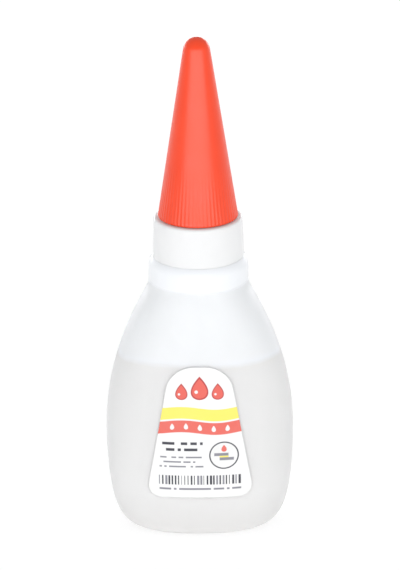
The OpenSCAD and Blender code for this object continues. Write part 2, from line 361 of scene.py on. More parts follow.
# %% [markdown]
# ## Rings and lofts
# A loft needs rings with the same number of points. Each ring starts as bmesh's circle, whose points are
# moved onto its oval, and neighbouring rings are then bridged. A blown bottle also has a faint ridge down
# each side where the two halves of the mould met, so a few extra points sit close together there to carry
# it.

# %% Rings round the body
ROUND_STEPS = 120
SIDES_DEG = (0, 180)
RIDGE_STEPS = {-1.0: 0.0, -0.5: 0.7, 0.0: 1.0, 0.5: 0.7, 1.0: 0.0}
ridge_lift = {(side + step) % 360: lift for side in SIDES_DEG for step, lift in RIDGE_STEPS.items()}
ring_angles = sorted(set(ridge_lift) | {360 * i / ROUND_STEPS for i in range(ROUND_STEPS)})


def oval_point(oval, angle_deg, ridge=0.0):
    """A point of an oval; ridge is how far the parting ridge stands out of it."""
    c, s = math.cos(math.radians(angle_deg)), math.sin(math.radians(angle_deg))
    reach = (abs(c) ** oval.w + abs(s) ** oval.w) ** (-1 / oval.w)
    out = ridge * ridge_lift.get(angle_deg, 0.0)
    return Vector((oval.x * reach * c + math.copysign(out, c), oval.y * reach * s, oval.z))


def add_ring(bm, oval, ridge=0.0):
    """A closed ring of edges round an oval."""
    made = bmesh.ops.create_circle(bm, segments=len(ring_angles), radius=1.0)
    for vert, angle_deg in zip(made["verts"], ring_angles):
        vert.co = oval_point(oval, angle_deg, ridge)
    return list({edge for vert in made["verts"] for edge in vert.link_edges})


def loft(bm, rings):
    """Bridges each ring to the next and closes both ends with a flat face."""
    for lower, upper in zip(rings, rings[1:]):
        bmesh.ops.bridge_loops(bm, edges=lower + upper)
    for end in (rings[0], rings[-1]):
        bmesh.ops.contextual_create(bm, geom=end)


print(len(ring_angles), "points in each ring")

# %% [markdown]
# ## The bottle
# One closed surface makes the whole bottle: up the outside from the hollow under the foot, over the ring
# and the neck with its bead, down the bore, and along the inside of the wall to the floor. Two separate
# shells would be quicker, but light is bent by every surface, so the wall has to be a true wall.

# %% Ovals of the outside, the neck and the inside
HOLLOW_STEPS = 6
LOW_STEPS = 22
HIGH_STEP = 1.0
BLEND_STEPS = 6
RING_H = 4.6
RING_ROUND = 0.775
RING_ROUND_H = 1.8
RING_STEPS = 8
NECK_FILLET = 0.2
FILLET_STEPS = 3
BEAD_Z = 3.0
BEAD_H = 1.4
BEAD_OUT = 0.35
BEAD_STEPS = 6
THROAT_H = 2.4
BORE_RING_H = 3.0
LIP_ROUND = 0.3
LIP_STEPS = 4
COLLAR_D = 16.6
COLLAR_WALL = 1.15
NECK_PLAY = 0.06
NECK_WALL = 1.2
MENISCUS_W = 1.8
MENISCUS_H = 0.5
wet_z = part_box("glue_fill")[1].z / MM + MENISCUS_H
ring_top = RING_Z + RING_H
bead_z = ring_top + BEAD_Z
neck_top = bottle_high.z
neck_r = COLLAR_D / 2 - COLLAR_WALL - NECK_PLAY
bore_r = neck_r - NECK_WALL


def hollow_rise(s):
    """How far the foot is drawn up, from its middle, at 0, to its rim, at 1."""
    return FOOT_HOLLOW * (1 - s * s) ** 2


def hollow_oval(s, lift):
    half_w, half_d = FOOT_W / 2 - FOOT_RIM, FOOT_D / 2 - FOOT_RIM
    return Vector((s * half_w, s * half_d, lift + hollow_rise(s), SQUARENESS))


def arc_points(centre_r, centre_z, radius, start_deg, end_deg, steps):
    """Radius and height along an arc of a turned outline."""
    turns = [math.radians(start_deg + (end_deg - start_deg) * i / steps) for i in range(steps + 1)]
    return [(centre_r + radius * math.cos(a), centre_z + radius * math.sin(a)) for a in turns]


def floor_and_low_ovals(inset, lift):
    hollow = [hollow_oval(i / HOLLOW_STEPS, lift) for i in range(1, HOLLOW_STEPS + 1)]
    return hollow + [low_oval(i / LOW_STEPS, inset, lift) for i in range(LOW_STEPS + 1)]


def high_ovals(inset, start_z, end_z):
    start_t, end_t = [t_at_height(lambda t: high_oval(t, inset), z) for z in (start_z, end_z)]
    steps = math.ceil((end_z - start_z) / HIGH_STEP)
    return [high_oval(start_t + (end_t - start_t) * i / steps, inset) for i in range(1, steps + 1)]


def blend_ovals(inset):
    """The small hollow curve where the shoulder turns up into the neck's ring."""
    start_z = SHOULDER_Z - NECK_BLEND
    corner = [high_oval(t_at_height(lambda t: high_oval(t, inset), start_z), inset),
              oval_at(RING_D, RING_D, SHOULDER_Z, inset, ROUND),
              oval_at(RING_D, RING_D, RING_Z, inset, ROUND)]
    return [bezier(corner, i / BLEND_STEPS) for i in range(1, BLEND_STEPS + 1)]


def body_ovals(inset, lift):
    """The body from the foot to the neck, with one oval right at the edge of the glue."""
    high = high_ovals(inset, BELLY_Z, wet_z) + high_ovals(inset, wet_z, SHOULDER_Z - NECK_BLEND)
    return floor_and_low_ovals(inset, lift) + high + blend_ovals(inset)


def neck_ovals():
    """The ring, the neck with the bead that holds the nozzle, its lip, and the bore down to the throat."""
    slope_deg = 2 * math.degrees(math.atan(RING_ROUND / RING_ROUND_H))
    arc_r = RING_ROUND_H / math.sin(math.radians(slope_deg))
    outline = arc_points(RING_D / 2 - arc_r, ring_top - RING_ROUND_H, arc_r, 0, slope_deg, RING_STEPS)
    outline += arc_points(neck_r + NECK_FILLET, ring_top + NECK_FILLET, NECK_FILLET, 270, 180, FILLET_STEPS)
    for share in [i / BEAD_STEPS for i in range(BEAD_STEPS + 1)]:
        outline.append((neck_r + BEAD_OUT * math.sin(math.pi * share), bead_z + BEAD_H * (share - 0.5)))
    outline += arc_points(neck_r - LIP_ROUND, neck_top - LIP_ROUND, LIP_ROUND, 0, 90, LIP_STEPS)
    outline += arc_points(bore_r + LIP_ROUND, neck_top - LIP_ROUND, LIP_ROUND, 90, 180, LIP_STEPS)
    outline += [(bore_r, RING_Z + THROAT_H + BORE_RING_H), (bore_r, RING_Z + THROAT_H)]
    return [Vector((radius, radius, z, ROUND)) for radius, z in outline]


print("neck radius", round(neck_r, 2), "bore radius", round(bore_r, 2), "lip at", round(neck_top, 2))

# %% The bottle's mesh
SHARP_DEG = 35
EDGE_SEGMENTS = 2
WELD_BAR = Vector((8.0, 0.45, 0.4))
WELD_BAR_ROUND = 0.12
WELD_BAR_CUTS = 12
RIDGE_START_Z = 0.3


def soften_edges(bm, offset, above_z=-1.0):
    """Rounds every sharp edge above a height by a small radius."""
    bmesh.ops.remove_doubles(bm, verts=bm.verts, dist=WELD)
    high = [e for e in bm.edges if e.is_manifold and min(v.co.z for v in e.verts) > above_z]
    sharp = [e for e in high if e.calc_face_angle(0) > math.radians(SHARP_DEG)]
    bmesh.ops.bevel(bm, geom=sharp, offset=offset, offset_type="OFFSET", segments=EDGE_SEGMENTS, profile=0.5,
                    affect="EDGES", material=-1, clamp_overlap=True)


def add_pinch_weld(bm):
    """The straight weld under the foot where the mould pinched the soft tube shut."""
    bar = bmesh.ops.create_cube(bm, size=1.0)["verts"]
    bmesh.ops.scale(bm, vec=WELD_BAR, verts=bar)
    long_edges = [e for e in {e for v in bar for e in v.link_edges} if e.calc_length() > WELD_BAR.x / 2]
    bmesh.ops.subdivide_edges(bm, edges=long_edges, cuts=WELD_BAR_CUTS)
    soften_edges(bm, WELD_BAR_ROUND)
    for vert in bm.verts:
        vert.co.z += hollow_rise(abs(vert.co.x) / (FOOT_W / 2 - FOOT_RIM))


def build_bottle(thin_wall, thick_neck, dry_skin, wet_skin):
    bm = bmesh.new()
    add_pinch_weld(bm)
    outside = []
    for oval in body_ovals(0, 0):
        outside.append(add_ring(bm, oval, PARTING_RIDGE if oval.z > RIDGE_START_Z else 0.0))
    neck = [add_ring(bm, oval) for oval in neck_ovals()]
    inside = [add_ring(bm, oval) for oval in reversed(body_ovals(WALL, FLOOR_T))]
    inner_points = {vert for ring in inside for edge in ring for vert in edge.verts}
    loft(bm, outside + neck + inside)
    materials = [thin_wall, thick_neck, dry_skin, wet_skin]
    for face in bm.faces:
        z = face.calc_center_median().z
        plastic = thin_wall
        if z > RING_Z:
            plastic = thick_neck
        elif all(vert in inner_points for vert in face.verts):
            plastic = dry_skin if z > wet_z else wet_skin
        face.material_index = materials.index(plastic)
    finish_piece(bm, "bottle_body", "bottle", materials)


print("the bottle's mesh is ready to be made once its plastic is")

# %% [markdown]
# ## Milky polyethylene
# Natural polyethylene is neither clear nor white: light goes in, is scattered, and comes out soft on both
# sides of the wall. A white surface would look like paint, and plain glass would be far too clear. So part
# of the light goes through roughly, and the rest is scattered under the surface, deeper than the wall is
# thick. At the thick neck nothing goes through and the light hardly sinks in, and its colour is a darker
# grey than the wall's, as painted shade. The wall's colour is painted greyer below the glue's level, so
# that the level shows, and darker still towards the foot: both are painted shade.

# %% The bottle's plastic
PLASTIC_IOR = 1.5
SATIN = 0.2
SCATTER_DEPTH = 2.0
NECK_SCATTER_DEPTH = 0.25
WALL_CLEARNESS = 0.18
DRY_CLEARNESS = 0.1
WET_CLEARNESS = 0.8
LEVEL_BLUR = 0.5
DRY_WHITE = (0.86, 0.886, 0.955, 1)
# Painted shade: the neck and ring are painted a darker grey than the wall's white.
NECK_WHITE_AND_SHADE = (0.742, 0.755, 0.775, 1)
# Painted shade: the wall's colour below the glue's level, greyer, and darker still towards the foot.
GLUE_SHADE_GREY = (0.77, 0.767, 0.765, 1)
FOOT_SHADE_GREY = (0.68, 0.672, 0.665, 1)
FOOT_TOP = 9.0
INNER_TONES = ((0.985, 0.992, 1.0, 1), (0.995, 0.998, 1.0, 1))
INNER_ROUGHNESS = (0.12, 0.18)
WALL_ROUGHNESS = (0.34, 0.4)
WALL_RELIEF = 0.012
DRAW_STRETCH = (1.1, 1.1, 0.05)
DRAW_HEIGHT = 2.0


def scatter(depth):
    """Shader values that let light wander under the surface for about this depth in millimetres."""
    return {"Subsurface_Weight": 1.0, "Subsurface_Radius": (1.0, 1.0, 1.0), "Subsurface_Scale": depth * MM}


def scuffed(tree, rough, scuffs, more):
    """A roughness that is more by this where there are scuffs."""
    return plus(tree, rough, times(tree, scuffs, more))


def make_bottle_plastic(name, see_through, depth, dry_white):
    """The wall from outside, with the streaks along which the soft plastic was drawn."""
    material, tree, shader, place = new_material(
        name, Transmission_Weight=see_through, IOR=PLASTIC_IOR, Specular_IOR_Level=SATIN, **scatter(depth))
    skin = use_group(tree, moulded_skin, Place=place, Cloud_Size=11.0, Skin_Size=0.7)
    scuffs = use_group(tree, hair_scuffs, Place=place, Length=7.0, Width=0.1, Cover=0.18)["Scuffs"]
    height = put(tree, "ShaderNodeSeparateXYZ", {"Vector": place}).outputs["Z"]
    wander = times(tree, minus(tree, skin["Clouds"], 0.5), LEVEL_BLUR)
    dry = ramp(tree, plus(tree, height, wander), wet_z - LEVEL_BLUR, wet_z + LEVEL_BLUR, 0.0, 1.0)
    # Painted shade: below the glue's level the wall's colour is greyer, and darker still towards the foot.
    painted_low_shade = mix_colour(tree, ramp(tree, height, 0.0, FOOT_TOP, 0.0, 1.0), FOOT_SHADE_GREY, GLUE_SHADE_GREY)
    streaks = noise(tree, stretched(tree, place, DRAW_STRETCH), 1.0)
    uneven = plus(tree, skin["Skin"], times(tree, streaks, DRAW_HEIGHT))
    rough = between(tree, skin["Clouds"], *WALL_ROUGHNESS)
    fill(tree, shader, Base_Color=mix_colour(tree, dry, painted_low_shade, dry_white),
         Roughness=scuffed(tree, rough, scuffs, 0.08), Normal=relief(tree, uneven, WALL_RELIEF))
    return material


def make_clouded(name, cloud_size, tones, roughness, **values):
    """A material whose tone and roughness drift between two values in slow clouds."""
    material, tree, shader, place = new_material(name, **values)
    clouds = use_group(tree, moulded_skin, Place=place, Cloud_Size=cloud_size)["Clouds"]
    colour = mix_colour(tree, clouds, *tones)
    fill(tree, shader, Base_Color=colour, Roughness=between(tree, clouds, *roughness))
    return material


def make_inner_skin(name, see_through):
    """The inside of the wall, which is hazy where it is dry and clear where the glue wets it."""
    return make_clouded(name, 8.0, INNER_TONES, INNER_ROUGHNESS, Transmission_Weight=see_through,
                        IOR=PLASTIC_IOR, **scatter(SCATTER_DEPTH))


build_bottle(make_bottle_plastic("milky_polyethylene", WALL_CLEARNESS, SCATTER_DEPTH, DRY_WHITE),
             make_bottle_plastic("thick_polyethylene", 0.0, NECK_SCATTER_DEPTH, NECK_WHITE_AND_SHADE),
             make_inner_skin("dry_inner_skin", DRY_CLEARNESS),
             make_inner_skin("wet_inner_skin", WET_CLEARNESS))

# %% [markdown]
# ## The glue
# The bottle holds a thin clear liquid that stands a little above half its height and climbs the wall by a
# hair, as liquids that wet a surface do. It could be left out of a milky bottle, but its level shows
# through the wall as a change of tone. It follows the inside of the wall with a hair of room, and its top
# curves up to the wall.

# %% The glue's mesh and finish
GLUE_ROOM = 0.03
GLUE_IOR = 1.44
GLUE_TONES = ((0.93, 0.92, 0.90, 1), (0.95, 0.94, 0.925, 1))
MENISCUS_STEPS = 6
SURFACE_RINGS = (0.6, 0.25)


def build_glue(materials):
    inset = WALL + GLUE_ROOM
    bm = bmesh.new()
    ovals = floor_and_low_ovals(inset, FLOOR_T + GLUE_ROOM) + high_ovals(inset, BELLY_Z, wet_z)
    rim = ovals[-1]
    for i in range(1, MENISCUS_STEPS + 1):
        share = i / MENISCUS_STEPS
        inwards = MENISCUS_W * share
        drop = MENISCUS_H * (1 - (1 - share) ** 2)
        ovals.append(Vector((rim.x - inwards, rim.y - inwards, wet_z - drop, rim.w)))
    last = ovals[-1]
    ovals += [Vector((last.x * share, last.y * share, last.z, last.w)) for share in SURFACE_RINGS]
    loft(bm, [add_ring(bm, oval) for oval in ovals])
    finish_piece(bm, "glue_charge", "glue_fill", materials, crisp_deg=60)


clear_glue = make_clouded("clear_glue", 14.0, GLUE_TONES, (0.02, 0.06), Transmission_Weight=1.0, IOR=GLUE_IOR)
build_glue([clear_glue])

# %% [markdown]
# ## The nozzle
# The nozzle is turned all round: a collar that covers the neck, a plug that seals the bore, a threaded boss
# and a slim spout with a fine hole. So its outline is drawn once, as a closed loop of edges, and spun about
# the axis. The thread is a small section that is spun too, but rises as it turns, and fades out at both
# ends.

# %% Turned pieces and helical ridges
THREAD_STEPS = 48


def spin_round(bm, geom, angle, steps, rise=0.0, **options):
    """Spins geometry about the upright axis, and lifts it by this rise at each step."""
    bmesh.ops.spin(bm, geom=geom, cent=(0, 0, 0), axis=Z_AXIS, dvec=(0, 0, rise), angle=angle, steps=steps,
                   **options)


def move_to_radius(vert, radius):
    """Moves a point straight to or from the axis."""
    share = radius / math.hypot(vert.co.x, vert.co.y)
    vert.co.x *= share
    vert.co.y *= share


def spin_outline(bm, outline, steps):
    """Spins a closed outline of (radius, height) points about the axis."""
    verts = [bm.verts.new((radius, 0, z)) for radius, z in outline]
    edges = [bm.edges.new((a, b)) for a, b in zip(verts, verts[1:] + verts[:1])]
    spin_round(bm, verts + edges, FULL_TURN, steps, use_merge=True)


def add_thread(bm, section, start_z, lead, turns, buried_r, fade):
    """Spins a section of (radius, height) up a helix; its ends sink to the buried radius."""
    before = set(bm.verts)
    verts = [bm.verts.new((radius, 0, start_z + z)) for radius, z in section]
    face = bm.faces.new(verts)
    steps = round(turns * THREAD_STEPS)
    spin_round(bm, [face], FULL_TURN * turns, steps, lead * turns / steps)
    ridge = [v for v in bm.verts if v not in before]
    for vert in ridge:
        angle = (math.atan2(vert.co.y, vert.co.x) / FULL_TURN) % 1
        turn = angle + round((vert.co.z - start_z) / lead - angle)
        out = max(0.0, min(1.0, turn / fade, (turns - turn) / fade))
        radius = math.hypot(vert.co.x, vert.co.y)
        move_to_radius(vert, buried_r + (radius - buried_r) * out)
    open_edges = [e for e in bm.edges if e.is_boundary and e.verts[0] in ridge]
    bmesh.ops.holes_fill(bm, edges=open_edges, sides=len(section))


print("helpers for turned pieces are ready")

# %% The nozzle's mesh
nozzle_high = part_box("nozzle")[1] / MM
SEAT_GAP = 0.005
COLLAR_FLARE = 0.45
COLLAR_H = 7.5
COLLAR_ROUND = 0.5
COLLAR_STEPS = 6
DECK_T = 1.3
PLUG_H = 3.6
PLUG_WALL = 0.9
BOSS_H = 7.4
BOSS_WALL = 1.2
BOSS_CONE_H = 2.2
SPOUT_D = 6.2
SPOUT_TIP_D = 2.4
SPOUT_WALL = 1.1
HOLE_D = 1.1
HOLE_H = 7.5
THREAD_D = 9.9
THREAD_DEPTH = 0.75
LEAD = 3.0
RIDGE_ROOT_W = 1.2
RIDGE_CREST_W = 0.65
RIDGE_MARGIN = 1.2
RIDGE_FADE = 0.2
BURIED = 0.4
NOZZLE_STEPS = 144
NOZZLE_EDGE = 0.14
CRISP_SEAT_H = 0.04
deck_z = ring_top + COLLAR_H
deck_under = deck_z - DECK_T
boss_r = THREAD_D / 2 - THREAD_DEPTH
boss_top = deck_z + BOSS_H
spout_z = boss_top + BOSS_CONE_H
spout_top = nozzle_high.z
nozzle_ridge_z = deck_z + RIDGE_MARGIN
nozzle_turns = (boss_top - RIDGE_MARGIN - nozzle_ridge_z) / LEAD


def nozzle_outline():
    """Up the outside of the collar, the boss and the spout, then back down through the passage."""
    collar_r = COLLAR_D / 2
    collar_bore_r = collar_r - COLLAR_WALL
    boss_bore_r = boss_r - BOSS_WALL
    plug_r = bore_r - NECK_PLAY
    plug_bore_r = plug_r - PLUG_WALL
    plug_end = deck_under - PLUG_H
    groove_r = collar_bore_r + BEAD_OUT
    groove_half = BEAD_H / 2 + NECK_PLAY
    outline = [(collar_bore_r, ring_top + SEAT_GAP), (collar_r + COLLAR_FLARE / 2, ring_top + SEAT_GAP)]
    outline += arc_points(collar_r - COLLAR_ROUND, deck_z - COLLAR_ROUND, COLLAR_ROUND, 0, 90, COLLAR_STEPS)
    outline += [(boss_r, deck_z), (boss_r, boss_top), (SPOUT_D / 2, spout_z), (SPOUT_TIP_D / 2, spout_top)]
    outline += [(HOLE_D / 2, spout_top), (HOLE_D / 2, spout_top - HOLE_H)]
    outline += [(SPOUT_D / 2 - SPOUT_WALL, spout_z), (boss_bore_r, boss_top), (boss_bore_r, deck_z)]
    outline += [(plug_bore_r, deck_under), (plug_bore_r, plug_end), (plug_r, plug_end), (plug_r, deck_under)]
    outline += [(collar_bore_r, deck_under), (collar_bore_r, bead_z + groove_half)]
    outline += [(groove_r, bead_z + groove_half / 3), (groove_r, bead_z - groove_half / 3)]
    outline += [(collar_bore_r, bead_z - groove_half)]
    return outline


def thread_section(surface_r, crest_r):
    """The thread's section, from its foot inside the wall to its flat crest."""
    buried_r = surface_r + math.copysign(BURIED, surface_r - crest_r)
    return buried_r, [(buried_r, -RIDGE_ROOT_W / 2), (crest_r, -RIDGE_CREST_W / 2),
                      (crest_r, RIDGE_CREST_W / 2), (buried_r, RIDGE_ROOT_W / 2)]


def build_nozzle(materials):
    bm = bmesh.new()
    spin_outline(bm, nozzle_outline(), NOZZLE_STEPS)
    soften_edges(bm, NOZZLE_EDGE, above_z=ring_top + CRISP_SEAT_H)
    buried_r, section = thread_section(boss_r, THREAD_D / 2)
    add_thread(bm, section, nozzle_ridge_z, LEAD, nozzle_turns, buried_r, RIDGE_FADE)
    finish_piece(bm, "dropper_nozzle", "nozzle", materials, crisp_deg=50)


print("deck at", round(deck_z, 2), "mm, spout tip at", round(spout_top, 2), "mm")

# %% [markdown]
# ## White moulded polyethylene
# The nozzle is the same plastic with white pigment, so nothing shows through it, but light still sinks in a
# little and softens its edges. Subsurface scattering over a fraction of a millimetre gives that. The clouds
# of the mould and a few scuffs change its gloss.

# %% The nozzle's plastic
NOZZLE_SCATTER_DEPTH = 0.15
NOZZLE_TONES = ((0.70, 0.702, 0.705, 1), (0.72, 0.721, 0.724, 1))
SKIN_DEPTH = 0.006
SCUFF_LENGTH = 4.0


def make_pigmented(name, skin_sizes, scuff_sizes, tones, roughness, scuff_rough, **values):
    """A pigmented plastic with the skin of its mould and a few scuffs."""
    material, tree, shader, place = new_material(name, **values)
    skin = use_group(tree, moulded_skin, Place=place, **skin_sizes)
    scuffs = use_group(tree, hair_scuffs, Place=place, Length=SCUFF_LENGTH, **scuff_sizes)["Scuffs"]
    rough = between(tree, skin["Clouds"], *roughness)
    fill(tree, shader, Base_Color=mix_colour(tree, skin["Clouds"], *tones),
         Roughness=scuffed(tree, rough, scuffs, scuff_rough), Normal=relief(tree, skin["Skin"], SKIN_DEPTH))
    return material


white_plastic = make_pigmented(
    "white_polyethylene", {"Cloud_Size": 6.0, "Skin_Size": 0.35}, {"Width": 0.08, "Cover": 0.2}, NOZZLE_TONES,
    (0.36, 0.44), 0.1, IOR=PLASTIC_IOR, Specular_IOR_Level=SATIN, **scatter(NOZZLE_SCATTER_DEPTH))
build_nozzle([white_plastic])

# %% [markdown]
# ## The cap
# The cap is a tall cone with a round tip, and fine flutes for the fingers that fade out a third of the way
# up. Cutting 60 grooves one by one would be slow and would leave ragged edges. Instead its outline is spun
# through one flute only, the points of its lower outside are drawn in, most at the flute's middle and less
# and less upwards, and that sector is then repeated all the way round.

# %% The cap's mesh
cap_low, cap_high = [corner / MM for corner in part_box("cap")]
CAP_TIP_R = 2.5
CAP_TIP_END_DEG = 88
CAP_TIP_STEPS = 14
CAP_SIDE_STEPS = 12
CAP_WALL = 1.2
CAP_BORE_H = 8.0
CAP_BORE_EDGE = 0.1
FLUTES = 60
STEPS_PER_FLUTE = 8
FLUTE_DEPTH = 0.08
FLUTE_H = 11.0
FLUTE_H_STEPS = 20
OUTER_SKIN = 0.5
THREAD_PLAY = 0.25
ROOF_GAP = 1.0
PIN_R = 0.4
PIN_PLAY = 0.02
SOCKET_H = 4.7
RIM_ROUND = 0.25
RIM_END_DEG = 345
RIM_STEPS = 4
cap_r = cap_high.x
rim_z = cap_low.z
tip_z = cap_high.z - CAP_TIP_R
cap_taper = math.atan2(cap_r, tip_z - rim_z) - math.asin(CAP_TIP_R / math.hypot(cap_r, tip_z - rim_z))
roof_z = spout_top + ROOF_GAP
cap_bore_r = THREAD_D / 2 + THREAD_PLAY
cap_bore_top = rim_z + CAP_BORE_H
cap_ridge_z = nozzle_ridge_z + LEAD / 2
cap_turns = (cap_bore_top - RIDGE_MARGIN - cap_ridge_z) / LEAD


def cap_side_r(z):
    return cap_r - (z - rim_z) * math.tan(cap_taper)


def cap_inside_r(z):
    return cap_side_r(z) - CAP_WALL / math.cos(cap_taper)


def cap_outline():
    """From the tip down the outside to the rim, and back up inside by the bore to the pin's socket."""
    tip = arc_points(0, tip_z, CAP_TIP_R, math.degrees(cap_taper), CAP_TIP_END_DEG, CAP_TIP_STEPS)
    side_start, side_end = rim_z + RIM_ROUND, tip[0][1]
    heights = [side_start + FLUTE_H * i / FLUTE_H_STEPS for i in range(FLUTE_H_STEPS + 1)]
    smooth_h = side_end - heights[-1]
    heights += [heights[-1] + smooth_h * i / CAP_SIDE_STEPS for i in range(1, CAP_SIDE_STEPS)]
    side = [(cap_side_r(z), z) for z in heights]
    rim = arc_points(cap_r - RIM_ROUND, rim_z + RIM_ROUND, RIM_ROUND, 270, RIM_END_DEG, RIM_STEPS)
    socket_r = PIN_R + PIN_PLAY
    inside = [(socket_r, roof_z + SOCKET_H), (socket_r, roof_z), (cap_inside_r(roof_z), roof_z)]
    inside += [(min(cap_bore_r, cap_inside_r(cap_bore_top)), cap_bore_top)]
    inside += [(cap_bore_r, cap_bore_top - CAP_BORE_EDGE)]
    inside += [(cap_bore_r, rim_z + RIM_ROUND), (cap_bore_r + RIM_ROUND, rim_z)]
    return (inside + rim + side + tip)[::-1]


def spin_open_outline(bm, outline, sectors, steps, shape_sector=None):
    """Spins one sector of an open outline, shapes it, repeats it all round and closes its ends."""
    verts = [bm.verts.new((radius, 0, z)) for radius, z in outline]
    edges = [bm.edges.new(pair) for pair in zip(verts, verts[1:])]
    sector = FULL_TURN / sectors
    spin_round(bm, verts + edges, sector, steps)
    if shape_sector:
        shape_sector(bm)
    everything = bm.verts[:] + bm.edges[:] + bm.faces[:]
    spin_round(bm, everything, FULL_TURN - sector, sectors - 1, use_duplicate=True)
    bmesh.ops.remove_doubles(bm, verts=bm.verts, dist=WELD)
    bmesh.ops.holes_fill(bm, edges=[e for e in bm.edges if e.is_boundary], sides=0)


def cut_flute(bm):
    """Draws the lower outside of one sector of the cap in between two crests."""
    moved = 0
    for vert in bm.verts:
        radius = math.hypot(vert.co.x, vert.co.y)
        height = vert.co.z - rim_z
        if height > FLUTE_H or radius < cap_side_r(vert.co.z) - OUTER_SKIN:
            continue
        phase = math.atan2(vert.co.y, vert.co.x) / FULL_TURN * FLUTES
        depth = FLUTE_DEPTH * (1 - height / FLUTE_H) * (0.5 - 0.5 * math.cos(FULL_TURN * phase))
        move_to_radius(vert, radius - depth)
        moved += 1
    print(moved, "points moved for each of", FLUTES, "flutes")


def build_cap(materials):
    bm = bmesh.new()
    spin_open_outline(bm, cap_outline(), FLUTES, STEPS_PER_FLUTE, cut_flute)
    buried_r, section = thread_section(cap_bore_r, boss_r + THREAD_PLAY)
    add_thread(bm, section, cap_ridge_z, LEAD, cap_turns, buried_r, RIDGE_FADE)
    finish_piece(bm, "screw_cap_cone", "cap", materials, crisp_deg=45)


print("cap tapers by", round(math.degrees(cap_taper), 2), "degrees")

# %% [markdown]
# ## Orange-red satin plastic
# The cap's colour is strong and its polish is between matt and gloss: a lamp spreads into a broad soft
# streak down the cone. The grain of the mould and a few scuffs break that streak up very slightly.

# %% The cap's plastic
CAP_IOR = 1.49
CAP_GLOSS = 0.56
CAP_TONES = ((0.74, 0.039, 0.0, 1), (0.77, 0.043, 0.001, 1))

red_plastic = make_pigmented(
    "orange_red_plastic", {"Cloud_Size": 5.0, "Skin_Size": 0.3}, {"Width": 0.07, "Cover": 0.25}, CAP_TONES,
    (0.35, 0.39), 0.12, IOR=CAP_IOR, Specular_IOR_Level=CAP_GLOSS)
build_cap([red_plastic])

# %% [markdown]
# ## The sealing pin
# A thin steel pin hangs in the cap and reaches into the spout's hole, so that no glue sets there. It is cut
# from drawn wire: a turned outline with a point at the lower end and a chamfer at the top, and fine lines
# along it.

# %% The pin's mesh and finish
pin_low, pin_high = [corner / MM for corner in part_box("sealing_pin")]
PIN_POINT_H = 1.0
PIN_POINT_R = 0.02
PIN_POINT_BELLY = 0.55
PIN_CHAMFER = 0.08
PIN_SECTORS = 8
PIN_STEPS = 6
WIRE_STRETCH = (14.0, 14.0, 0.15)
WIRE_LINE_DEPTH = 0.004


def build_pin(materials):
    bm = bmesh.new()
    outline = [(PIN_POINT_R, pin_low.z), (PIN_R * PIN_POINT_BELLY, pin_low.z + PIN_POINT_H / 2)]
    outline += [(PIN_R, pin_low.z + PIN_POINT_H), (PIN_R, pin_high.z - PIN_CHAMFER)]
    outline += [(PIN_R - PIN_CHAMFER, pin_high.z)]
    spin_open_outline(bm, outline, PIN_SECTORS, PIN_STEPS)
    finish_piece(bm, "steel_sealing_pin", "sealing_pin", materials)


def make_pin_steel():
    material, tree, shader, place = new_material("drawn_steel", Metallic=1.0)
    lines = noise(tree, stretched(tree, place, WIRE_STRETCH), 1.0)
    colour = mix_colour(tree, lines, (0.55, 0.55, 0.56, 1), (0.72, 0.72, 0.73, 1))
    fill(tree, shader, Base_Color=colour, Roughness=ramp(tree, lines, 0.3, 0.7, 0.22, 0.4),
         Normal=relief(tree, lines, WIRE_LINE_DEPTH))
    return material


build_pin([make_pin_steel()])

# %% [markdown]
# ## The labels
# A sticker with round corners, narrower at its top, wraps the front of the body, and another the back. Each
# starts as a flat grid: its rows are as wide as the sticker is there, its points are laid on the body's
# front, and solidify gives the film its thickness. The back one is the same sheet turned half round.

# %% The labels' meshes
LABEL_Z = 8.9
LABEL_H = 26.5
LABEL_W = 20.4
LABEL_TOP_W = 11.0
LABEL_CORNER_R = 2.8
LABEL_TOP_R = 4.4
LABEL_T = 0.1
LABEL_OUT = 0.12
LABEL_COLUMNS = 40
LABEL_ROWS = 56
FACES_OUT = 0.3


def label_half_w(h):
    """Half the sticker's width at a height above its lower edge, round corners included."""
    side = LABEL_W / 2 - (LABEL_W - LABEL_TOP_W) / 2 * h / LABEL_H
    low = max(0.0, LABEL_CORNER_R - h)
    high = max(0.0, h - LABEL_H + LABEL_TOP_R)
    low_cut = LABEL_CORNER_R - math.sqrt(LABEL_CORNER_R ** 2 - low * low)
    high_cut = LABEL_TOP_R - math.sqrt(max(0.0, LABEL_TOP_R ** 2 - high * high))
    return side - low_cut - high_cut


def front_y(x, z):
    """The body's front at a place across and up."""
    oval = outside_oval(z)
    return -oval.y * (1 - (abs(x) / oval.x) ** oval.w) ** (1 / oval.w)


def build_label(name, node, materials, half_turns):
    bm = bmesh.new()
    grid = bmesh.ops.create_grid(bm, x_segments=LABEL_COLUMNS, y_segments=LABEL_ROWS, size=1.0)["verts"]
    for vert in grid:
        h = LABEL_H * (1 - math.cos(math.pi * (vert.co.y + 1) / 2)) / 2
        x = label_half_w(h) * vert.co.x
        vert.co = Vector((x, front_y(x, LABEL_Z + h) - LABEL_OUT, LABEL_Z + h))
    bmesh.ops.recalc_face_normals(bm, faces=bm.faces)
    if sum(face.normal.y for face in bm.faces) > 0:
        bmesh.ops.reverse_faces(bm, faces=bm.faces)
    bmesh.ops.solidify(bm, geom=list(bm.faces), thickness=LABEL_T)
    bm.normal_update()
    for face in bm.faces:
        face.material_index = 0 if face.normal.y < -FACES_OUT else 1
    spin = Matrix.Rotation(math.pi * half_turns, 3, "Z")
    bmesh.ops.rotate(bm, cent=(0, 0, 0), matrix=spin, verts=bm.verts)
    finish_piece(bm, name, node, materials, crisp_deg=50)


print("label", LABEL_W, "to", LABEL_TOP_W, "mm wide and", LABEL_H, "mm tall")

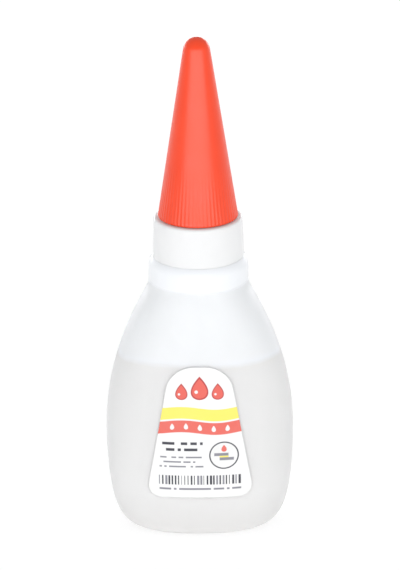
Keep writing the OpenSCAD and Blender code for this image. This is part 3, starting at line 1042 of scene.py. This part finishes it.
# %% [markdown]
# ## Printing on the labels
# A print could be a picture, but a picture blurs up close and needs a file. Here each mark is a mask worked
# out from the place on the sticker in millimetres: boxes, discs and drops, with edges as soft as ink on
# film. Each kind is a node group, and each mark is one more layer of ink over the paper.

# %% Masks for boxes, discs and drops
INK_EDGE = 0.05
DROP_FULLNESS = 0.75 * math.sqrt(3)


def ink_within(group, outside):
    """Ink that is 1 where the distance outside a shape is below 0, with a soft edge."""
    return ramp(group, outside, -INK_EDGE, INK_EDGE, 1.0, 0.0)


def make_print_box():
    inputs = {"X": 0.0, "Z": 0.0, "Left": -1.0, "Right": 1.0, "Low": -1.0, "High": 1.0}
    group, given, wanted = new_group("print_box", inputs, ("Ink",))
    across = maths(group, "MAXIMUM", minus(group, given["Left"], given["X"]),
                   minus(group, given["X"], given["Right"]))
    up = maths(group, "MAXIMUM", minus(group, given["Low"], given["Z"]),
               minus(group, given["Z"], given["High"]))
    group.links.new(ink_within(group, maths(group, "MAXIMUM", across, up)), wanted["Ink"])
    return group


def make_print_disc():
    inputs = {"X": 0.0, "Z": 0.0, "Centre X": 0.0, "Centre Z": 0.0, "Radius": 1.0}
    group, given, wanted = new_group("print_disc", inputs, ("Ink",))
    across = minus(group, given["X"], given["Centre X"])
    up = minus(group, given["Z"], given["Centre Z"])
    squares = plus(group, times(group, across, across), times(group, up, up))
    outside = minus(group, maths(group, "SQRT", squares), given["Radius"])
    group.links.new(ink_within(group, outside), wanted["Ink"])
    return group


def make_print_drop():
    """A drop, round below and pointed above; its half width is a share of (1 - t) * sqrt(t)."""
    inputs = {"X": 0.0, "Z": 0.0, "Centre X": 0.0, "Low": 0.0, "Width": 1.0, "Height": 1.0}
    group, given, wanted = new_group("print_drop", inputs, ("Ink",))
    t = maths(group, "DIVIDE", minus(group, given["Z"], given["Low"]), given["Height"])
    held = between(group, t, 0.0, 1.0)
    swell = times(group, minus(group, 1.0, held), maths(group, "SQRT", held))
    half = times(group, times(group, swell, given["Width"]), DROP_FULLNESS)
    across = maths(group, "ABSOLUTE", minus(group, given["X"], given["Centre X"]))
    ink = ink_within(group, minus(group, across, half))
    within = times(group, maths(group, "GREATER_THAN", t, 0.0), maths(group, "LESS_THAN", t, 1.0))
    group.links.new(times(group, ink, within), wanted["Ink"])
    return group


print_box = make_print_box()
print_disc = make_print_disc()
print_drop = make_print_drop()
print("print masks:", print_box.name, print_disc.name, print_drop.name)

# %% [markdown]
# ## The labels' designs
# The front has three red drops, a yellow and a red band, a round sign of two plates being joined, rows of
# small dashes and a strip of bars. The back has a drop, bands, more rows and two small signs. They carry no
# words. The sheet is coated film: white, smooth, with a slight wave where it follows the plastic.

# %% Layers of ink
RED_INK = (0.64, 0.11, 0.085, 1)
DEEP_RED_INK = (0.4, 0.03, 0.03, 1)
YELLOW_INK = (0.77, 0.66, 0.11, 1)
DARK_INK = (0.03, 0.03, 0.045, 1)
GREY_INK = (0.2, 0.2, 0.23, 1)
FILM_WHITE = (0.70, 0.70, 0.695, 1)
FILM_BRIGHT = (0.72, 0.72, 0.715, 1)
FILM_BACK = (0.66, 0.67, 0.69, 1)
THIN_INK = 0.96
FILM_WAVE = 0.01
FILM_ROUGHNESS = (0.3, 0.38)


class LabelPrint:
    """A printed sheet: a material whose layers of ink are added one after another."""

    def __init__(self, name, half_turns):
        parts = new_material(name, IOR=PLASTIC_IOR, Specular_IOR_Level=0.5)
        self.material, self.tree, self.shader, place = parts
        split = put(self.tree, "ShaderNodeSeparateXYZ", {"Vector": place}).outputs
        self.x = times(self.tree, split["X"], -1.0) if half_turns else split["X"]
        self.z = minus(self.tree, split["Z"], LABEL_Z)
        skin = use_group(self.tree, moulded_skin, Place=place, Cloud_Size=4.0, Skin_Size=0.6)
        self.clouds = skin["Clouds"]
        self.colour = mix_colour(self.tree, self.clouds, FILM_WHITE, FILM_BRIGHT)

    def ink(self, mask, colour):
        """Lays ink where the mask is 1, a little thinner in places."""
        cover = times(self.tree, mask, between(self.tree, self.clouds, THIN_INK, 1.0))
        self.colour = mix_colour(self.tree, cover, self.colour, colour)

    def mask(self, group, z=None, **sizes):
        return use_group(self.tree, group, X=self.x, Z=z or self.z, **sizes)["Ink"]

    def box_mask(self, left, right, low, high, z=None):
        return self.mask(print_box, z, Left=left, Right=right, Low=low, High=high)

    def box(self, left, right, low, high, colour, z=None):
        self.ink(self.box_mask(left, right, low, high, z), colour)

    def disc(self, x, z, radius, colour):
        self.ink(self.mask(print_disc, Centre_X=x, Centre_Z=z, Radius=radius), colour)

    def drop(self, x, low, width, height, colour, z=None):
        self.ink(self.mask(print_drop, z, Centre_X=x, Low=low, Width=width, Height=height), colour)

    def columns(self, pitch, seed):
        """For columns of this pitch: the place across one, from 0 to 1, and a random number for each."""
        along = maths(self.tree, "DIVIDE", self.x, pitch)
        number = plus(self.tree, maths(self.tree, "FLOOR", along), seed)
        chance = put(self.tree, "ShaderNodeTexWhiteNoise", {"W": number}, noise_dimensions="1D")
        return maths(self.tree, "FRACT", along), chance.outputs["Value"]

    def finish(self):
        rough = between(self.tree, self.clouds, *FILM_ROUGHNESS)
        wave = relief(self.tree, self.clouds, FILM_WAVE)
        fill(self.tree, self.shader, Base_Color=self.colour, Roughness=rough, Normal=wave)
        return self.material


print("a sheet starts with the film's white and takes ink in layers")

# %% Motifs of the labels
DASH_GAPS = 0.15
BAR_SEED, TONE_SEED = 3.0, 43.0
DARK_BARS = 0.55


def waved_height(sheet, swing, length):
    """The height with a slow wave across the sheet, for bands with a wavy edge."""
    wave = maths(sheet.tree, "SINE", times(sheet.tree, sheet.x, FULL_TURN / length))
    return plus(sheet.tree, sheet.z, times(sheet.tree, wave, swing))


def add_band(sheet, low, high, colour, z=None):
    """A band right across the sheet."""
    sheet.box(-LABEL_W, LABEL_W, low, high, colour, z)


def add_shiny_drop(sheet, x, low, width, height):
    """A red drop with a deeper edge and a small glint."""
    sheet.drop(x, low, width, height, DEEP_RED_INK)
    sheet.drop(x, low + height * 0.06, width * 0.84, height * 0.84, RED_INK)
    sheet.disc(x - width * 0.19, low + height * 0.34, width * 0.1, FILM_WHITE)


def add_joined_plates(sheet, x, z, radius):
    """A round sign: two plates that overlap, with glue between them and a drop above."""
    sheet.disc(x, z, radius, DARK_INK)
    sheet.disc(x, z, radius * 0.91, FILM_WHITE)
    sheet.box(x - radius * 0.66, x + radius * 0.3, z - radius * 0.04, z + radius * 0.17, GREY_INK)
    sheet.box(x - radius * 0.3, x + radius * 0.3, z - radius * 0.15, z - radius * 0.04, YELLOW_INK)
    sheet.box(x - radius * 0.3, x + radius * 0.66, z - radius * 0.36, z - radius * 0.15, GREY_INK)
    sheet.drop(x, z + radius * 0.26, radius * 0.36, radius * 0.5, RED_INK)


def add_dashes(sheet, rows, low, thick, spacing, colour, pitch, seed, seed_step=0.0):
    """Rows of dashes of uneven lengths, downwards from this height, each from a left to a right end."""
    for row, (left, right) in enumerate(rows):
        chance = sheet.columns(pitch, seed + seed_step * row)[1]
        there = maths(sheet.tree, "GREATER_THAN", chance, DASH_GAPS)
        row_low = low - spacing * row
        strip = sheet.box_mask(left, right, row_low, row_low + thick)
        sheet.ink(times(sheet.tree, there, strip), colour)


def add_bars(sheet, left, right, low, high, pitch):
    """A strip of thin bars of uneven widths and two tones, which stands for nothing."""
    across, chance = sheet.columns(pitch, BAR_SEED)
    bar = maths(sheet.tree, "LESS_THAN", across, between(sheet.tree, chance, 0.2, 0.75))
    tone = maths(sheet.tree, "GREATER_THAN", sheet.columns(pitch, TONE_SEED)[1], DARK_BARS)
    mask = times(sheet.tree, bar, sheet.box_mask(left, right, low, high))
    sheet.ink(mask, mix_colour(sheet.tree, tone, DARK_INK, GREY_INK))


print("motifs: bands, drops, plates, dashes and bars")

# %% The front's and the back's print
FRONT_DROPS = ((-3.4, 2.3, 3.3), (0.0, 3.3, 4.7), (3.4, 2.3, 3.3))
FRONT_DROPS_Z = 20.0
BAND_DROP_PITCH = 2.6
BOLD_ROWS = ((-7.1, 0.5), (-6.4, -0.5))
FINE_ROWS = ((-7.5, 0.3), (-6.9, -0.9), (-7.8, 0.6))
FOOT_ROW = ((-7.7, 7.7),)
BACK_ROWS = [(-5.4 - 0.2 * row, 5.4 + 0.2 * row - 1.3 * (row % 3)) for row in range(7)]
BACK_SIGN_X, BACK_SIGN_Z, BACK_SIGN_R = 4.2, 5.3, 2.2


def make_front_print():
    sheet = LabelPrint("front_label_print", half_turns=0)
    for x, width, height in FRONT_DROPS:
        add_shiny_drop(sheet, x, FRONT_DROPS_Z, width, height)
    wave = waved_height(sheet, 0.3, 13.0)
    add_band(sheet, 15.95, 18.3, YELLOW_INK, wave)
    add_band(sheet, 13.2, 15.6, RED_INK, wave)
    for i in range(-2, 3):
        sheet.drop(BAND_DROP_PITCH * i, 13.8, 0.8, 1.25, FILM_WHITE, wave)
    add_joined_plates(sheet, 4.5, 8.7, 2.8)
    add_dashes(sheet, BOLD_ROWS, 10.9, 0.55, 1.25, DARK_INK, 0.6, 5.0, 41.0)
    add_dashes(sheet, FINE_ROWS, 8.2, 0.32, 0.95, GREY_INK, 0.45, 11.0, 53.0)
    add_bars(sheet, -7.8, 7.8, 2.7, 4.6, 0.6)
    add_dashes(sheet, FOOT_ROW, 1.6, 0.4, 0.0, GREY_INK, 0.5, 29.0)
    return sheet.finish()


def make_back_print():
    sheet = LabelPrint("back_label_print", half_turns=1)
    add_shiny_drop(sheet, 0.0, 20.4, 2.8, 4.0)
    add_band(sheet, 17.4, 18.9, YELLOW_INK)
    add_band(sheet, 16.8, 17.2, RED_INK)
    add_dashes(sheet, BACK_ROWS, 15.3, 0.32, 1.0, GREY_INK, 0.45, 50.0, 7.0)
    add_joined_plates(sheet, -BACK_SIGN_X, BACK_SIGN_Z, BACK_SIGN_R)
    sheet.disc(BACK_SIGN_X, BACK_SIGN_Z, BACK_SIGN_R, DARK_INK)
    sheet.disc(BACK_SIGN_X, BACK_SIGN_Z, 2.0, FILM_WHITE)
    add_shiny_drop(sheet, BACK_SIGN_X, 4.0, 1.7, 2.6)
    add_band(sheet, 1.3, 2.1, RED_INK)
    return sheet.finish()


film_back = make_clouded("film_back", 2.5, (FILM_BACK, FILM_WHITE), (0.4, 0.55), IOR=PLASTIC_IOR)
build_label("front_sticker", "front_label", [make_front_print(), film_back], half_turns=0)
build_label("back_sticker", "back_label", [make_back_print(), film_back], half_turns=1)

# %% [markdown]
# ## Floor and light
# The bottle stands on a white floor in even, very bright light, as in a catalogue. One lamp from above
# would leave the sides of so pale a bottle grey. So a wide low lamp near the camera draws the streak on the
# cap, and one like it behind lights the back nearly as brightly. The world gives the rest: it is brighter
# at both sides, where there is no lamp.

# %% Floor, lamps and world
FLOOR_SIZE = 6.0
FLOOR_GLOW = 0.63
FLOOR_TONES = ((0.44, 0.44, 0.44, 1), (0.46, 0.46, 0.46, 1))
LAMP_TARGET = Vector((0, 0, 0.045))
LAMP_DISTANCE = 0.95
LAMP_RISE_DEG = 3
LAMP_W = 2.3
LAMP_H = 0.3
KEY_POWER = 11.5
BACK_POWER = 10.5
ROOM_TINT = (0.98, 0.99, 1.0, 1)
ROOM_FRONT = 0.5
ROOM_SIDES = 0.85
ROOM_ABOVE = 0.75
SIDE_RANGE = (0.4, 0.8)
ABOVE_RANGE = (0.15, 0.75)


def build_floor():
    bm = bmesh.new()
    bmesh.ops.create_grid(bm, x_segments=1, y_segments=1, size=FLOOR_SIZE / 2)
    mesh = mesh_from(bm, "floor")
    material, tree, shader, place = new_material(
        "pale_floor", Roughness=0.9, Specular_IOR_Level=0.0, Emission_Color=(1, 1, 1, 1),
        Emission_Strength=FLOOR_GLOW)
    clouds = use_group(tree, moulded_skin, Place=place, Cloud_Size=300.0, Skin_Size=2.0)["Clouds"]
    fill(tree, shader, Base_Color=mix_colour(tree, clouds, *FLOOR_TONES))
    mesh.materials.append(material)
    floor = add_object("floor", mesh)


def add_softbox(name, bearing_deg, power):
    """A wide low lamp at a bearing from the front, aimed at the bottle's middle."""
    lamp = bpy.data.lights.new(name, "AREA")
    lamp.shape = "RECTANGLE"
    lamp.size = LAMP_W
    lamp.size_y = LAMP_H
    lamp.energy = power
    a, e = math.radians(bearing_deg), math.radians(LAMP_RISE_DEG)
    away = Vector((math.sin(a) * math.cos(e), -math.cos(a) * math.cos(e), math.sin(e)))
    obj = add_object(name, lamp)
    obj.location = LAMP_TARGET + LAMP_DISTANCE * away
    obj.rotation_euler = (LAMP_TARGET - obj.location).to_track_quat("-Z", "Y").to_euler()
    obj.visible_camera = False


def build_world():
    """A room that is brightest at both sides and dimmer in front and behind, where the lamps are."""
    world = bpy.data.worlds.new("soft_room")
    bpy.context.scene.world = world
    world.use_nodes = True
    tree = world.node_tree
    way = put(tree, "ShaderNodeTexCoord").outputs["Generated"]
    split = put(tree, "ShaderNodeSeparateXYZ", {"Vector": way}).outputs
    round_about = ramp(tree, maths(tree, "ABSOLUTE", split["X"]), *SIDE_RANGE, ROOM_FRONT, ROOM_SIDES)
    strength = ramp(tree, split["Z"], *ABOVE_RANGE, round_about, ROOM_ABOVE)
    fill(tree, tree.nodes["Background"], Color=ROOM_TINT, Strength=strength)


build_floor()
build_world()
add_softbox("key_softbox", 0, KEY_POWER)
add_softbox("back_softbox", 180, BACK_POWER)
bpy.context.scene.view_settings.view_transform = "Standard"
print("two softboxes and a soft room")

# %% [markdown]
# ## The camera
# The photograph looks slightly down on the bottle from the front with a long lens. The distance and the
# angle were worked out from how round the cap's rim and the liquid's edge look, and the bottle leans a hair
# to the left in the frame, which is a roll of the camera.

# %% The camera
CAMERA_DISTANCE = 0.629
CAMERA_ELEVATION_DEG = 20.5
CAMERA_ROLL_DEG = -0.5
LENS_MM = 212.2
SENSOR_H_MM = 36.0
AIM = Vector((0.26, 0.0, 48.15)) * MM


def build_camera():
    data = bpy.data.cameras.new("camera")
    data.sensor_fit = "VERTICAL"
    data.sensor_height = SENSOR_H_MM
    data.lens = LENS_MM
    camera = add_object("camera", data)
    e = math.radians(CAMERA_ELEVATION_DEG)
    camera.location = AIM + CAMERA_DISTANCE * Vector((0, -math.cos(e), math.sin(e)))
    tilt = Matrix.Rotation(math.pi / 2 - e, 4, "X")
    roll = Matrix.Rotation(math.radians(CAMERA_ROLL_DEG), 4, "Z")
    camera.rotation_euler = (tilt @ roll).to_euler()
    bpy.context.scene.camera = camera
    print("camera at", [round(value, 4) for value in camera.location])


build_camera()

# %% [markdown]
# ## The last step
# The scene is brought up to date once more.

# %% Finish
bpy.context.view_layer.update()
